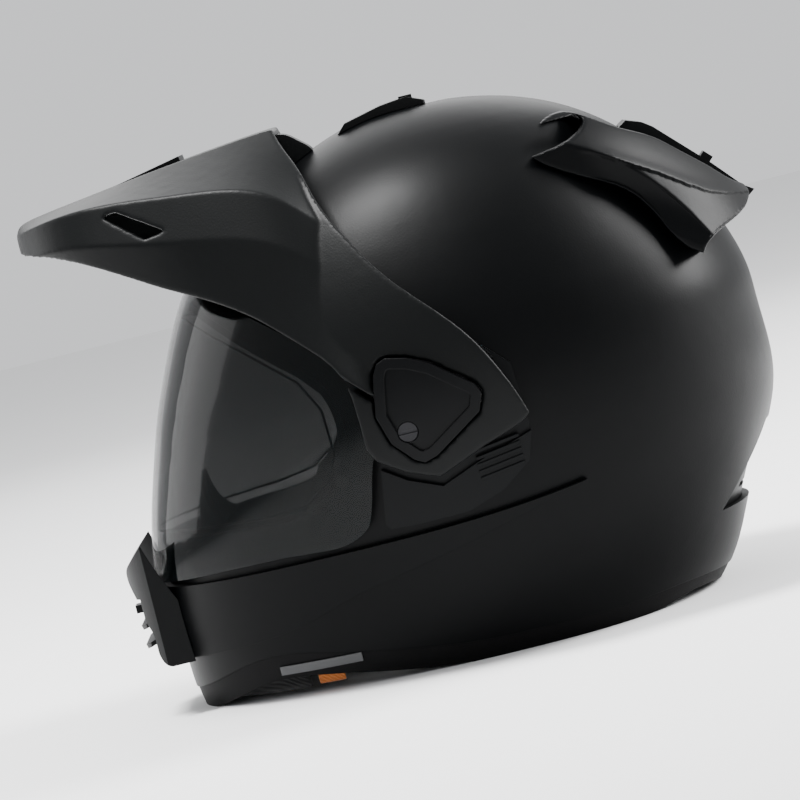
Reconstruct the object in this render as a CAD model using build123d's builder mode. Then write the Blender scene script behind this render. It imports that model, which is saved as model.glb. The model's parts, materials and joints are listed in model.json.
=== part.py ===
from build123d import *
import functools
import math
import os

os.makedirs("parts", exist_ok=True)

# Dual sport helmet, standing level on its lower rim: +Z is up, it faces -Y, the wearer's left is +X.

# Outer shell
shell_height = 239.0
chin_reach = 165.0
nape_reach = 128.0
shell_width = 248.0
head_middle = 110.0
head_axis_back = 26.0
shell_wall = 3.2
belt_rise = 3.0

# Layers over and under the shell's outer face
seat_gap = 0.25
plate_top = 2.2
shield_inside = 3.0
shield_wall = 2.2
arm_inside = 7.1
arm_wall = 2.8
arm_rise = 8.0
arm_front = 79.0
pod_wall = 5.4
pod_ring_rise = 1.5
pod_gap = 0.4
pod_ring_inset = 4.5
insert_inside = 1.4
insert_wall = 0.9
gasket_top = 1.0
gasket_depth = 6.0
trim_inset = 0.6
trim_wall = 4.2
liner_gap = 0.4
foam_wall = 26.0
chin_foam_wall = 14.0
chin_foam_low = 22.0
chin_foam_high = 66.0
chin_foam_rear = 64.0
comfort_wall = 7.5
comfort_low = 111.0
curtain_wall = 2.4
curtain_low = 2.0
curtain_high = 21.0
curtain_rear = 106.0
nose_guard_inset = 14.0
nose_guard_wall = 2.0
nose_guard_low = 66.5
nose_guard_top = 103.0
nose_guard_side = 78.0
nose_guard_half_width = 52.0
nose_guard_forward = 90.0

# Face shield hinge, measured from the head's axis and the rim
pivot_forward = 10.0
pivot_height = 125.0
pivot_radius = 8.0
pivot_gap = 0.3
ear_radius = 15.0
pivot_screw_radius = 3.2
pivot_screw_start = 120.8
pivot_screw_length = 7.4
insert_pin_radius = 2.6
insert_pin_gap = 0.2
insert_pin_forward = 71.0
insert_pin_height = 91.5

# Peak
peak_wall = 3.0
peak_half_width = 105.0
scoop_half_width = 22.0
stay_half_width = 14.0
pod_screw_radius = 4.2
pod_screw_shank = 2.5
pod_screw_start = 117.8
pod_screw_out = 131.5
pod_screw_head = 2.6
pod_screw_forward = 37.8
pod_screw_height = 106.7
pod_boss_radius = 5.5
plate_raise = 4.6
rib_count = 5
rib_length = 20.0
rib_thickness = 1.3
rib_pitch = 3.0
rib_lean = 8.0
rib_level = 86.5
rib_back = -2.5
rib_rise = 0.8
screw_slot_width = 1.4
screw_slot_depth = 1.2

# Chin vent
chin_vent_half_width = 36.0
chin_vent_nose = 179.5
chin_vent_flank = 168.0
chin_window_half_width = 26.0
chin_window_low = 28.0
chin_window_high = 55.0
louver_thickness = 2.0
louver_tilt = 20.0
louver_forward = 173.0
louver_depth = 7.0
louver_shares = [0.24, 0.56]
mesh_wall = 0.8
mesh_hole_radius = 1.2
mesh_pitch = 3.2
mesh_columns = 15
mesh_rows = 7
mesh_forward = 166.6
shutter_wall = 1.2
shutter_low = 34.0
shutter_high = 53.0
shutter_forward = 168.3
shutter_nub_reach = 10.0
shutter_nub_width = 10.0
shutter_nub_height = 3.6
shutter_nub_level = 49.0
chin_hole_half_width = 17.0
swing_half_width = 48.0
swing_nose = 170.6
swing_flank = 158.3
chin_hole_low = 31.0
chin_hole_high = 51.0

# Crown vent
crown_vent_front_half = 17.5
crown_vent_rear_half = 13.5
crown_vent_rise = 5.5
crown_vent_start = 200.0
crown_slider_length = 6.0
crown_slider_half_width = 7.0
crown_slider_travel = 7.0
crown_slider_floor = 241.0
crown_slider_top = 244.2
crown_slider_back = 1.8
crown_hole_radius = 4.0
crown_hole_spacing = 16.0
crown_hole_forward = 20.0

# Rear diffusers, centre duct and exhaust
tail_outset = 5.0
tail_shift = 15.0
diffuser_inner = 19.0
diffuser_outer = 80.0
intake_wall = 2.5
intake_inset = 10.0
intake_length = 50.0
intake_margin = 25.0
intake_floor = 1.25
duct_half_width = 17.0
duct_slider_length = 5.0
duct_slider_half_width = 6.0
duct_slider_rise = 2.6
duct_slider_travel = 5.0
duct_slider_depth = 1.6
duct_slider_place = 0.90
exhaust_wall = 3.4
exhaust_lap = 3.0
louver_count = 3
recess_low = 34.0
recess_high = 66.0
recess_low_half = 57.0
exhaust_slot_half = 28.5
recess_high_half = 25.0

# Cheek pads, neck roll and strap
pad_inner = 50.0
pad_crown = 14.0
neck_roll_low = 1.5
neck_roll_high = 22.5
neck_roll_front = 6.5
foam_low = 24.0
strap_width = 24.0
strap_wall = 2.2
strap_forward = 20.0
strap_anchor_out = 89.2
strap_anchor_height = 15.0
strap_floor = 0.8
strap_bend_out = 66.0
left_strap_end = 36.0
right_strap_end = -6.0
rivet_radius = 6.0
rivet_wall = 4.2
ring_width = 34.0
ring_length = 24.0
ring_rod = 3.4
ring_spacing = 4.2
loop_wall = 1.1
snap_radius = 6.5
snap_wall = 2.4
tab_length = 12.0
tab_wall = 1.5
tab_drop = 5.0
tab_rise = 11.0
tab_forward = 97.0
strip_wall = 0.5
strip_length = 37.0
strip_height = 4.0
strip_forward = 100.0
strip_level = 13.2

# Working values
cut_overrun = 2.0
room = 2 * shell_height
ring_steps = 16

# Sections of the shell: height, reach to the front, reach to the rear and half width
form_shares = [
    (-0.067, 0.936, 0.547, 0.710),
    (0.000, 0.964, 0.641, 0.758),
    (0.084, 0.977, 0.750, 0.819),
    (0.188, 0.976, 0.844, 0.891),
    (0.293, 0.964, 0.949, 0.952),
    (0.418, 0.921, 0.996, 0.994),
    (0.544, 0.861, 0.988, 0.994),
    (0.669, 0.782, 0.922, 0.931),
    (0.774, 0.691, 0.812, 0.823),
    (0.866, 0.558, 0.664, 0.681),
    (0.937, 0.400, 0.480, 0.492),
    (0.979, 0.261, 0.281, 0.298),
    (0.997, 0.152, 0.086, 0.133),
]

# Outlines seen from the side: distance behind the head's axis and height
rim_edge_shares = [
    (-1.200, 0.029), (-0.970, 0.038), (-0.897, 0.054), (-0.812, 0.075), (-0.715, 0.086),
    (-0.576, 0.075), (-0.339, 0.048), (-0.170, 0.036), (0.030, 0.033), (0.248, 0.033),
    (0.412, 0.036), (0.606, 0.025), (0.900, 0.025),
]
rim_floor_shares = [
    (-1.200, 0.000), (-0.921, 0.000), (-0.848, 0.017), (-0.739, 0.038), (-0.618, 0.036),
    (-0.485, 0.023), (-0.364, 0.010), (-0.212, 0.000), (0.273, 0.000), (0.352, 0.008),
    (0.424, 0.014), (0.473, 0.008), (0.509, 0.000), (0.900, 0.000),
]
port_top_shares = [(-1.200, 0.760), (-0.721, 0.741), (-0.612, 0.674), (-0.467, 0.594), (-0.412, 0.552)]
port_rear_shares = [(-0.412, 0.552), (-0.391, 0.500), (-0.397, 0.435), (-0.442, 0.360)]
port_low_shares = [(-0.442, 0.360), (-0.513, 0.326), (-0.588, 0.316), (-1.200, 0.316)]
gasket_top_shares = [(-1.300, 0.747), (-0.726, 0.728), (-0.618, 0.660), (-0.478, 0.581), (-0.430, 0.545)]
gasket_rear_shares = [(-0.430, 0.545), (-0.410, 0.500), (-0.416, 0.437), (-0.452, 0.372)]
gasket_low_shares = [(-0.452, 0.372), (-0.516, 0.339), (-0.588, 0.329), (-1.300, 0.329)]
insert_shares = [
    (-1.200, 0.727), (-0.750, 0.718), (-0.600, 0.640), (-0.480, 0.572), (-0.436, 0.515),
    (-0.430, 0.435), (-0.460, 0.388), (-0.540, 0.352), (-0.640, 0.345), (-1.200, 0.345),
]
shield_low_shares = [
    (-1.200, 0.247), (-0.909, 0.256), (-0.776, 0.263), (-0.558, 0.266), (-0.436, 0.272), (-0.388, 0.293),
]
shield_rear_shares = [(-0.388, 0.293), (-0.367, 0.331), (-0.342, 0.395), (-0.290, 0.460), (-0.200, 0.490)]
shield_top_shares = [(-0.121, 0.580), (-0.273, 0.600), (-0.436, 0.640), (-0.588, 0.715), (-0.712, 0.777)]
belt_top_shares = [(-1.200, 0.238), (-0.715, 0.247), (-0.509, 0.252), (-0.273, 0.257), (0.190, 0.282)]
belt_low_shares = [
    (-1.200, 0.080), (-0.861, 0.110), (-0.648, 0.132), (-0.479, 0.168), (-0.279, 0.201), (-0.040, 0.240),
    (0.190, 0.282),
]
plate_shares = [
    (-0.345, 0.290), (-0.333, 0.279), (-0.258, 0.277), (-0.125, 0.279), (-0.024, 0.303),
    (0.058, 0.344), (0.079, 0.410), (0.070, 0.520), (-0.030, 0.590), (-0.200, 0.560), (-0.290, 0.500),
    (-0.318, 0.400),
]
plate_raised_shares = [
    (-0.345, 0.290), (-0.333, 0.279), (-0.258, 0.277), (-0.125, 0.279), (-0.024, 0.303),
    (0.058, 0.344), (0.079, 0.395), (-0.061, 0.366), (-0.175, 0.335), (-0.262, 0.360), (-0.322, 0.388),
]
pod_shares = [
    (-0.285, 0.556), (-0.269, 0.577), (-0.242, 0.585), (-0.188, 0.577), (-0.130, 0.558), (-0.030, 0.503),
    (-0.019, 0.485), (-0.036, 0.452), (-0.170, 0.392), (-0.205, 0.385), (-0.230, 0.394), (-0.279, 0.431),
    (-0.303, 0.485),
]
arm_rear_shares = [
    (-0.400, 1.060), (-0.376, 0.985), (-0.345, 0.937), (-0.318, 0.877), (-0.266, 0.805), (-0.189, 0.723),
    (-0.096, 0.652), (-0.014, 0.583), (0.041, 0.513), (0.074, 0.457), (0.087, 0.427),
]
arm_low_shares = [
    (0.087, 0.427), (0.061, 0.414), (-0.061, 0.385), (-0.175, 0.353), (-0.258, 0.375), (-0.327, 0.406),
    (-0.345, 0.431),
]
peak_lip_shares = [
    (-0.345, 0.431), (-0.348, 0.510), (-0.364, 0.569), (-0.448, 0.640), (-0.558, 0.709), (-0.697, 0.766),
    (-0.794, 0.803), (-0.909, 0.849), (-1.006, 0.881), (-1.300, 0.895),
]
peak_slot_shares = [(-0.880, 0.943), (-0.842, 0.946), (-0.721, 0.892), (-0.780, 0.886)]
stay_shares = [(-0.406, 0.930), (-0.420, 1.000), (-0.400, 1.008), (-0.372, 1.006), (-0.340, 0.990),
               (-0.306, 0.966), (-0.330, 0.930)]
scoop_shares = [(-0.985, 0.955), (-0.960, 0.974), (-0.830, 0.992), (-0.660, 1.015), (-0.655, 0.990)]
chin_vent_front_shares = [
    (-0.985, 0.354), (-1.027, 0.322), (-1.057, 0.302), (-1.075, 0.286), (-1.079, 0.269), (-1.072, 0.246),
    (-1.061, 0.221), (-1.056, 0.197), (-1.038, 0.158), (-1.037, 0.129), (-1.031, 0.112), (-1.006, 0.098),
]
chin_vent_rear_shares = [(-1.006, 0.098), (-0.900, 0.098), (-0.900, 0.354), (-0.985, 0.354)]
crown_vent_shares = [
    (-0.248, 0.930), (-0.248, 0.968), (-0.206, 0.998), (-0.103, 1.014), (-0.027, 1.019), (0.021, 1.005),
    (0.021, 0.930),
]
diffuser_top_shares = [
    (0.254, 0.858), (0.306, 0.918), (0.364, 0.925), (0.415, 0.910), (0.509, 0.868), (0.576, 0.843),
    (0.655, 0.797), (0.709, 0.764), (0.770, 0.724), (0.815, 0.706),
]
diffuser_low_shares = [
    (0.815, 0.706), (0.800, 0.682), (0.733, 0.657), (0.635, 0.615), (0.570, 0.657), (0.533, 0.707),
    (0.479, 0.757), (0.388, 0.797), (0.297, 0.833), (0.254, 0.858),
]
duct_shares = [
    (0.470, 0.850), (0.533, 0.877), (0.576, 0.866), (0.600, 0.854), (0.733, 0.760), (0.800, 0.707),
    (0.827, 0.695), (0.776, 0.669), (0.679, 0.669),
]
foam_cut_shares = [(-1.200, 0.762), (-0.680, 0.762), (-0.376, 0.586), (-0.376, -0.200), (-1.200, -0.200)]
comfort_cut_shares = [(-1.200, 0.740), (-0.600, 0.740), (-0.340, 0.560), (-0.340, -0.200), (-1.200, -0.200)]
pad_crown_shares = [(0.0, 0.45), (0.14, 0.80), (0.5, 0.96), (1.0, 1.0), (4.0, 1.0)]
neck_roll_outer = [(0.0, -11.0), (0.25, -6.4), (0.75, -6.4), (1.0, -11.0)]
neck_roll_inner = [(0.0, -23.0), (0.25, -30.0), (0.5, -32.0), (0.75, -30.0), (1.0, -23.0)]
pad_shares = [
    (-0.600, 0.090), (-0.640, 0.200), (-0.590, 0.300), (-0.460, 0.350), (-0.330, 0.440), (-0.100, 0.440),
    (0.020, 0.380), (0.040, 0.200), (0.000, 0.070), (-0.250, 0.059), (-0.450, 0.065),
]

# Peak stations: place along the head, half width at the side band's lower edge and at the lip,
# then the heights of the middle, the ridge, the crease, the band's lower edge and the lip
peak_shares = [
    (-1.145, 0.057, 0.048, 0.946, 0.944, 0.937, 0.904, 0.895),
    (-1.115, 0.362, 0.324, 0.960, 0.962, 0.946, 0.893, 0.887),
    (-1.042, 0.590, 0.543, 0.969, 0.972, 0.957, 0.902, 0.881),
    (-0.921, 0.743, 0.705, 0.979, 0.983, 0.964, 0.895, 0.849),
    (-0.758, 0.839, 0.820, 0.993, 0.998, 0.956, 0.874, 0.789),
    (-0.576, 0.930, 0.992, 1.006, 1.012, 0.941, 0.854, 0.718),
    (-0.455, 0.988, 1.102, 1.014, 1.020, 0.917, 0.826, 0.642),
    (-0.352, 1.020, 1.210, 1.016, 1.022, 0.862, 0.772, 0.561),
    (-0.273, 1.066, 1.232, 1.017, 1.023, 0.812, 0.720, 0.510),
]
ridge_share = 0.42
crease_share = 0.90


def side_plane(out=0.0):
    """Plane of the side view at a distance to the wearer's left: local x runs back, local y up."""
    return Plane(origin=(out, head_axis_back, 0), x_dir=(0, 1, 0), z_dir=(1, 0, 0))


def level_plane(height):
    """Horizontal plane at a height, centred on the head's axis."""
    return Plane(origin=(0, head_axis_back, height), x_dir=(1, 0, 0), z_dir=(0, 0, 1))


def front_plane(back):
    """Upright plane across the helmet, seen from the front: local x runs left, local y up."""
    return Plane(origin=(0, head_axis_back + back, 0), x_dir=(1, 0, 0), z_dir=(0, -1, 0))


def side_points(shares):
    """Places in the side view from shares of the chin's reach and the shell's height."""
    return [(back * chin_reach, up * shell_height) for back, up in shares]


def ring_points(front, rear, half_width):
    """Places round an egg shaped level section, made of two half ellipses."""
    points = []
    for step in range(ring_steps):
        turn = 2 * math.pi * step / ring_steps
        reach = front if math.cos(turn) > 0 else rear
        points.append((half_width * math.sin(turn), -reach * math.cos(turn)))
    return points


@functools.cache
def form(outset):
    """Closed body of the helmet's outer form, grown about the head's middle by an outset."""
    grow = 1 + outset / nape_reach
    with BuildPart() as body:
        for height_share, front_share, rear_share, width_share in form_shares:
            height = head_middle + (height_share * shell_height - head_middle) * grow
            points = ring_points(
                front_share * chin_reach * grow,
                rear_share * nape_reach * grow,
                width_share * shell_width / 2 * grow,
            )
            with BuildSketch(level_plane(height)):
                with BuildLine():
                    Spline(*points, periodic=True)
                make_face()
        loft()
    return body.part


def layer(outer, inner):
    """Hollow layer between two outsets of the form."""
    with BuildPart() as body:
        add(form(outer))
        add(form(inner), mode=Mode.SUBTRACT)
    return body.part


def block(across, low, high, front, rear):
    """Upright box centred on the helmet's middle plane, given by its faces."""
    with BuildPart() as body:
        with BuildSketch(level_plane(low)):
            with BuildLine():
                Polyline((-across, front), (across, front), (across, rear), (-across, rear), close=True)
            make_face()
        extrude(amount=high - low)
    return body.part


def side_body(shares, out=0.0, across=None):
    """Straight sided outline of the side view, run across the whole helmet or to one side."""
    with BuildPart() as body:
        with BuildSketch(side_plane(out)):
            with BuildLine():
                Polyline(*side_points(shares), close=True)
            make_face()
        if across is None:
            extrude(amount=room, both=True)
        else:
            extrude(amount=across)
    return body.part


def smooth_side_body(shares):
    """Rounded closed outline of the side view, run across the whole helmet."""
    with BuildPart() as body:
        with BuildSketch(side_plane()):
            with BuildLine():
                Spline(*side_points(shares), periodic=True)
            make_face()
        extrude(amount=room, both=True)
    return body.part


def above_curve(shares, drop=0.0):
    """Everything above a side view curve that runs from the front to the rear."""
    points = [(back, up - drop) for back, up in side_points(shares)]
    with BuildPart() as body:
        with BuildSketch(side_plane()):
            with BuildLine():
                Spline(*points)
                Polyline(points[-1], (points[-1][0], room), (points[0][0], room), points[0])
            make_face()
        extrude(amount=room, both=True)
    return body.part


def port_body(top, rear, low):
    """Eye port's outline run across the helmet, from its three edges."""
    with BuildPart() as body:
        with BuildSketch(side_plane()):
            with BuildLine():
                Polyline(*side_points(top))
                Spline(*side_points(rear))
                Polyline(*side_points(low), side_points(top)[0])
            make_face()
        extrude(amount=room, both=True)
    return body.part


def hinge_rod(radius, start, length, side):
    """Rod on the face shield's axis at one side of the helmet."""
    with BuildPart() as body:
        with BuildSketch(side_plane(side * start)):
            with Locations((-pivot_forward, pivot_height)):
                Circle(radius)
        extrude(amount=side * length)
    return body.part


def screw_rod(radius, start, length, side):
    """Rod on the pod screw's axis at one side of the helmet."""
    with BuildPart() as body:
        with BuildSketch(side_plane(side * start)):
            with Locations((-pod_screw_forward, pod_screw_height)):
                Circle(radius)
        extrude(amount=side * length)
    return body.part


def finish(piece, name):
    """Label a piece and write its file."""
    piece.part.label = name
    export_step(piece.part, "parts/" + name + ".step")


outer_form = form(0)
port = port_body(port_top_shares, port_rear_shares, port_low_shares)
over_rim = above_curve(rim_edge_shares)

# Raised belt round the chin bar, between the shield's ledge and the styling crease
with BuildPart() as belt:
    with BuildSketch(side_plane()):
        with BuildLine():
            Spline(*side_points(belt_top_shares))
            Spline(*side_points(belt_low_shares))
            Line(side_points(belt_top_shares)[0], side_points(belt_low_shares)[0])
        make_face()
    extrude(amount=room, both=True)
    add(form(belt_rise), mode=Mode.INTERSECT)

# Recess at the nape, wider at its foot

def nape_body(grown):
    """Trapezoid at the nape, run back out of the helmet, grown by a margin."""
    low_half = recess_low_half + grown
    high_half = recess_high_half + grown
    low = recess_low - grown
    high = recess_high + grown
    with BuildPart() as body:
        with BuildSketch(front_plane(nape_reach / 2)):
            with BuildLine():
                Polyline((-low_half, low), (low_half, low), (high_half, high), (-high_half, high), close=True)
            make_face()
        extrude(amount=-room)
    return body.part


with BuildPart() as outer_shell:
    add(outer_form)
    add(belt.part)
    add(form(-shell_wall), mode=Mode.SUBTRACT)
    add(port, mode=Mode.SUBTRACT)
    add(over_rim, mode=Mode.INTERSECT)
    add(nape_body(0), mode=Mode.SUBTRACT)
    add(block(chin_hole_half_width, chin_hole_low, chin_hole_high, -room, 0), mode=Mode.SUBTRACT)
    with BuildSketch(level_plane(shell_height / 2)):
        with Locations((0, -crown_hole_forward)):
            with GridLocations(crown_hole_spacing, crown_hole_spacing, 2, 1):
                Circle(crown_hole_radius)
    extrude(amount=room, mode=Mode.SUBTRACT)
    for side in (1, -1):
        add(hinge_rod(pivot_screw_radius + pivot_gap, 0, room, side), mode=Mode.SUBTRACT)
        add(screw_rod(pod_screw_shank + pivot_gap, 0, room, side), mode=Mode.SUBTRACT)
finish(outer_shell, "outer_shell")

with BuildPart() as rim_trim:
    add(layer(-trim_inset, -trim_inset - trim_wall))
    add(over_rim, mode=Mode.SUBTRACT)
    add(above_curve(rim_floor_shares), mode=Mode.INTERSECT)
    add(block(room, 0, room, -room, room), mode=Mode.INTERSECT)
finish(rim_trim, "rim_trim")

foam_outside = shell_wall + liner_gap
with BuildPart() as eps_liner:
    add(layer(-foam_outside, -foam_outside - foam_wall))
    add(side_body(foam_cut_shares), mode=Mode.SUBTRACT)
    add(block(room, foam_low, room, -room, room), mode=Mode.INTERSECT)
    add(nape_body(exhaust_lap + liner_gap), mode=Mode.SUBTRACT)
finish(eps_liner, "eps_liner")

with BuildPart() as chin_bar_liner:
    add(layer(-foam_outside, -foam_outside - chin_foam_wall))
    add(block(room, chin_foam_low, chin_foam_high, -room, -chin_foam_rear), mode=Mode.INTERSECT)
    add(block(chin_hole_half_width, chin_hole_low, chin_hole_high, -room, 0), mode=Mode.SUBTRACT)
finish(chin_bar_liner, "chin_bar_liner")

comfort_outside = foam_outside + foam_wall + liner_gap
with BuildPart() as comfort_liner:
    add(layer(-comfort_outside, -comfort_outside - comfort_wall))
    add(side_body(comfort_cut_shares), mode=Mode.SUBTRACT)
    add(block(room, comfort_low, room, -room, room), mode=Mode.INTERSECT)
finish(comfort_liner, "comfort_liner")

pad_outline = side_points(pad_shares)
pad_middle_back = sum(back for back, up in pad_outline) / len(pad_outline)
pad_middle_up = sum(up for back, up in pad_outline) / len(pad_outline)
for side, name in ((1, "cheek_pad_left"), (-1, "cheek_pad_right")):
    with BuildPart() as cheek_pad:
        for rise_share, size_share in pad_crown_shares:
            with BuildSketch(side_plane(side * (pad_inner + rise_share * pad_crown))):
                with BuildLine():
                    Spline(
                        *[
                            (
                                pad_middle_back + size_share * (back - pad_middle_back),
                                pad_middle_up + size_share * (up - pad_middle_up),
                            )
                            for back, up in pad_outline
                        ],
                        periodic=True,
                    )
                make_face()
        loft()
        add(form(-comfort_outside), mode=Mode.INTERSECT)
    finish(cheek_pad, name)


def cushion_body(levels):
    """Closed body through egg shaped sections, from shares of its height and outsets of the form."""
    with BuildPart() as body:
        for level_share, outset in levels:
            height = neck_roll_low + level_share * (neck_roll_high - neck_roll_low)
            place = height / shell_height
            below, above = form_shares[0], form_shares[1]
            for lower, upper in zip(form_shares, form_shares[1:]):
                if lower[0] <= place <= upper[0]:
                    below, above = lower, upper
            blend = (place - below[0]) / (above[0] - below[0])
            front, rear, width = [low + blend * (high - low) for low, high in zip(below[1:], above[1:])]
            with BuildSketch(level_plane(height)):
                with BuildLine():
                    Spline(
                        *ring_points(
                            front * chin_reach + outset,
                            rear * nape_reach + outset,
                            width * shell_width / 2 + outset,
                        ),
                        periodic=True,
                    )
                make_face()
        loft()
    return body.part


with BuildPart() as neck_roll:
    add(cushion_body(neck_roll_outer))
    add(cushion_body(neck_roll_inner), mode=Mode.SUBTRACT)
    add(block(room, 0, room, neck_roll_front, room), mode=Mode.INTERSECT)
finish(neck_roll, "neck_roll")

curtain_outside = trim_inset + trim_wall + liner_gap
with BuildPart() as chin_curtain:
    add(layer(-curtain_outside, -curtain_outside - curtain_wall))
    add(block(room, curtain_low, curtain_high, -room, -curtain_rear), mode=Mode.INTERSECT)
finish(chin_curtain, "chin_curtain")

with BuildPart() as eyeport_gasket:
    add(port)
    add(form(gasket_top), mode=Mode.INTERSECT)
    add(form(-gasket_depth), mode=Mode.SUBTRACT)
    add(port_body(gasket_top_shares, gasket_rear_shares, gasket_low_shares), mode=Mode.SUBTRACT)
finish(eyeport_gasket, "eyeport_gasket")

with BuildPart() as nose_guard:
    with BuildSketch(front_plane(-nose_guard_forward)):
        with BuildLine():
            Spline(
                (-nose_guard_half_width, nose_guard_side),
                (-nose_guard_half_width / 3, nose_guard_top - (nose_guard_top - nose_guard_side) / 4),
                (0, nose_guard_top),
                (nose_guard_half_width / 3, nose_guard_top - (nose_guard_top - nose_guard_side) / 4),
                (nose_guard_half_width, nose_guard_side),
            )
            Polyline(
                (nose_guard_half_width, nose_guard_side),
                (nose_guard_half_width, nose_guard_low),
                (-nose_guard_half_width, nose_guard_low),
                (-nose_guard_half_width, nose_guard_side),
            )
        make_face()
    extrude(amount=room)
    add(layer(-nose_guard_inset, -nose_guard_inset - nose_guard_wall), mode=Mode.INTERSECT)
finish(nose_guard, "nose_guard")

# Face shield: an ear round each hinge pin runs forward into the curved lens
shield_outside = shield_inside + shield_wall
ear_low = side_points(shield_rear_shares)[-1]
with BuildPart() as face_shield:
    with BuildSketch(side_plane(-room)):
        with BuildLine():
            Spline(*side_points(shield_low_shares))
            Spline(*side_points(shield_rear_shares))
            Polyline(ear_low, (-pivot_forward, pivot_height - ear_radius))
            ThreePointArc(
                (-pivot_forward, pivot_height - ear_radius),
                (-pivot_forward + ear_radius, pivot_height),
                (-pivot_forward, pivot_height + ear_radius),
            )
            Spline((-pivot_forward, pivot_height + ear_radius), *side_points(shield_top_shares[1:]))
            Polyline(
                side_points(shield_top_shares)[-1],
                (-room, shield_top_shares[-1][1] * shell_height),
                (-room, side_points(shield_low_shares)[0][1]),
                side_points(shield_low_shares)[0],
            )
        make_face()
    extrude(amount=2 * room)
    add(layer(shield_outside, shield_inside), mode=Mode.INTERSECT)
    for side in (1, -1):
        add(hinge_rod(pivot_radius + pivot_gap, 0, room, side), mode=Mode.SUBTRACT)
finish(face_shield, "face_shield")

with BuildPart() as anti_fog_insert:
    with BuildSketch(side_plane()):
        with BuildLine():
            Polyline(*side_points(insert_shares), close=True)
        make_face()
    extrude(amount=room, both=True)
    add(form(insert_inside + insert_wall), mode=Mode.INTERSECT)
    add(form(insert_inside), mode=Mode.SUBTRACT)
finish(anti_fog_insert, "anti_fog_insert")

with BuildPart() as insert_pins:
    for side in (1, -1):
        with BuildSketch(side_plane()):
            with Locations((-insert_pin_forward, insert_pin_height)):
                Circle(insert_pin_radius)
        extrude(amount=side * room)
    add(form(shield_inside - insert_pin_gap), mode=Mode.INTERSECT)
    add(form(insert_inside + insert_wall), mode=Mode.SUBTRACT)
finish(insert_pins, "insert_pins")

# Side base plates carry the hinge pins and the pods
half_width = shell_width / 2
with BuildPart() as plate_ribs:
    with BuildSketch(side_plane()):
        with Locations((rib_back, rib_level)):
            with GridLocations(rib_length, rib_pitch, 1, rib_count):
                Rectangle(rib_length, rib_thickness, rotation=rib_lean)
    extrude(amount=room, both=True)
    add(form(plate_raise + rib_rise), mode=Mode.INTERSECT)
    add(form(plate_top), mode=Mode.SUBTRACT)

for side, name in ((1, "side_base_plate_left"), (-1, "side_base_plate_right")):
    with BuildPart() as base_plate:
        with BuildSketch(side_plane()):
            with BuildLine():
                Polyline(*side_points(plate_shares), close=True)
            make_face()
        extrude(amount=side * room)
        add(form(plate_top), mode=Mode.INTERSECT)
        add(hinge_rod(pivot_radius, half_width / 2, room, side))
        add(screw_rod(pod_boss_radius, half_width / 2, room, side))
        with BuildSketch(side_plane()):
            with BuildLine():
                Polyline(*side_points(plate_raised_shares), close=True)
            make_face()
        extrude(amount=side * room)
        add(form(plate_raise), mode=Mode.INTERSECT)
        add(form(seat_gap), mode=Mode.SUBTRACT)
        add(plate_ribs.part.solids().filter_by(lambda rib: rib.center().X * side > 0))
        add(screw_rod(pod_screw_shank + pivot_gap, 0, room, side), mode=Mode.SUBTRACT)
        add(hinge_rod(pivot_screw_radius + pivot_gap, half_width / 2, room, side), mode=Mode.SUBTRACT)
    finish(base_plate, name)

with BuildPart() as pivot_screws:
    for side in (1, -1):
        add(hinge_rod(pivot_screw_radius, pivot_screw_start, pivot_screw_length, side))
finish(pivot_screws, "pivot_screws")


def peak_section(station, inset):
    """Right half of the peak's section at a station, from the middle out and down to the lip."""
    back, band, lip, middle_up, ridge_up, crease_up, band_up, lip_up = station
    band_out = band * peak_half_width - inset
    lip_out = lip * peak_half_width - inset
    return [
        (0, middle_up * shell_height - inset),
        (ridge_share * band_out, ridge_up * shell_height - inset),
        (crease_share * band_out, crease_up * shell_height - inset),
        (band_out, band_up * shell_height - inset / 2),
        (lip_out, lip_up * shell_height - inset),
    ]


def visor_body(inset):
    """Closed body of the peak, through its stations, drawn in by the wall."""
    with BuildPart() as body:
        for index, station in enumerate(peak_shares):
            shift = inset if index == 0 else 0
            right = peak_section(station, inset)
            left = [(-out, up) for out, up in reversed(right[1:])]
            with BuildSketch(front_plane(station[0] * chin_reach + shift)):
                with BuildLine():
                    Polyline(*right, *left, close=True)
                make_face()
        loft()
    return body.part


arm_outside = arm_inside + arm_wall
arm_outline = arm_rear_shares + arm_low_shares[1:] + peak_lip_shares[1:]
lift = Location((0, 0, arm_rise))
with BuildPart() as peak_outline:
    with BuildSketch(side_plane()):
        with BuildLine():
            Spline(*side_points(arm_rear_shares))
            Polyline(*side_points(arm_low_shares))
            Spline(*side_points(peak_lip_shares))
            Polyline(
                side_points(peak_lip_shares)[-1],
                (-room, side_points(peak_lip_shares)[-1][1]),
                (-room, room),
                (side_points(arm_rear_shares)[0][0], room),
                side_points(arm_rear_shares)[0],
            )
        make_face()
    extrude(amount=room, both=True)

with BuildPart() as peak_arms:
    add(form(arm_outside).moved(lift))
    add(form(arm_inside).moved(lift), mode=Mode.SUBTRACT)
    add(block(room, 0, room, -arm_front, room), mode=Mode.INTERSECT)
    add(visor_body(peak_wall), mode=Mode.SUBTRACT)


def pod_body(shrink, outer, inner, side):
    """Pod shaped layer over the arm's seat, drawn in by a gap."""
    with BuildPart() as body:
        with BuildSketch(side_plane()):
            with BuildLine():
                Polyline(*side_points(pod_shares), close=True)
            make_face()
            if shrink != 0:
                offset(amount=-shrink, mode=Mode.REPLACE)
        extrude(amount=side * room)
        add(form(outer).moved(lift), mode=Mode.INTERSECT)
        add(form(inner).moved(lift), mode=Mode.SUBTRACT)
    return body.part


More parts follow.
